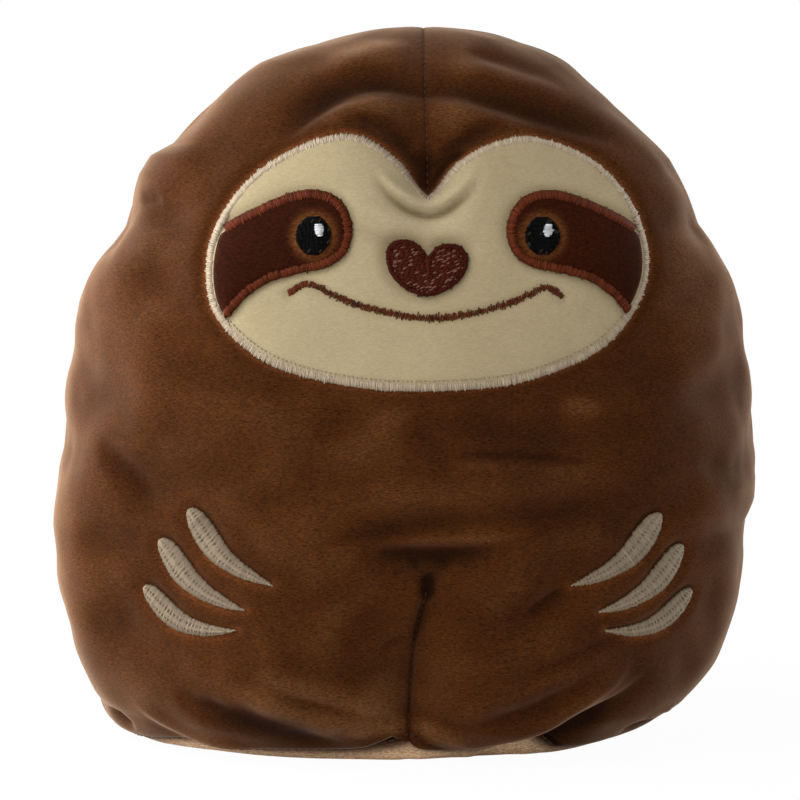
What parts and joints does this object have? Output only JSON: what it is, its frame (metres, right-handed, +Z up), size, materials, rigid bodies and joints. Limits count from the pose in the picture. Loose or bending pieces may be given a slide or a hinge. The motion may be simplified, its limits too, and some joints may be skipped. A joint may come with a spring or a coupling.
{
  "type": "plush sloth",
  "caption": "Egg-shaped stuffed sloth cushion of short-pile velour with a sewn-on embroidered face and embroidered claws on its belly.",
  "frame": {"origin": "middle of the flat face that the toy rests on, under the middle of its width and depth", "axes": "+Z up, the face looks along -Y, +X to the right as seen from the front"},
  "size_m": [0.2458, 0.1752, 0.2499],
  "materials": {
    "stuffing": "polyester fibre filling, fluffy, hidden",
    "pile_brown": "short-pile velour, soft sheen",
    "pile_cream": "short-pile velour, soft sheen",
    "pile_dark": "short-pile velour, soft sheen",
    "thread_cream": "satin stitch in polyester embroidery thread",
    "thread_red_brown": "satin stitch in polyester embroidery thread",
    "thread_black": "filled embroidery in polyester thread",
    "thread_white": "filled embroidery in polyester thread",
    "thread_nose": "filled embroidery in polyester thread",
    "thread_nose_edge": "satin stitch in polyester embroidery thread",
    "thread_claw": "filled embroidery in polyester thread",
    "backing": "nonwoven embroidery backing, matte, hidden",
    "sewing_thread": "polyester sewing thread"
  },
  "bodies": {
    "root": {"stuffing": "stuffing", "front_panel": "pile_brown", "back_panel_left": "pile_brown", "back_panel_right": "pile_brown", "base_panel": "pile_brown", "face_patch": "pile_cream", "eye_patch_left": "pile_dark", "eye_patch_right": "pile_dark", "face_border": "thread_cream", "eye_patch_border_left": "thread_red_brown", "eye_patch_border_right": "thread_red_brown", "mouth": "thread_red_brown", "eye_left": "thread_black", "eye_right": "thread_black", "eye_glint_left": "thread_white", "eye_glint_right": "thread_white", "nose": "thread_nose", "nose_border": "thread_nose_edge", "claw_left_upper": "thread_claw", "claw_left_middle": "thread_claw", "claw_left_lower": "thread_claw", "claw_right_upper": "thread_claw", "claw_right_middle": "thread_claw", "claw_right_lower": "thread_claw", "face_backing": "backing", "claw_backing_left": "backing", "claw_backing_right": "backing", "side_seam_thread": "sewing_thread", "base_seam_thread": "sewing_thread", "back_seam_thread": "sewing_thread", "crown_dart_thread": "sewing_thread", "belly_dart_thread": "sewing_thread"}
  },
  "joints": []
}
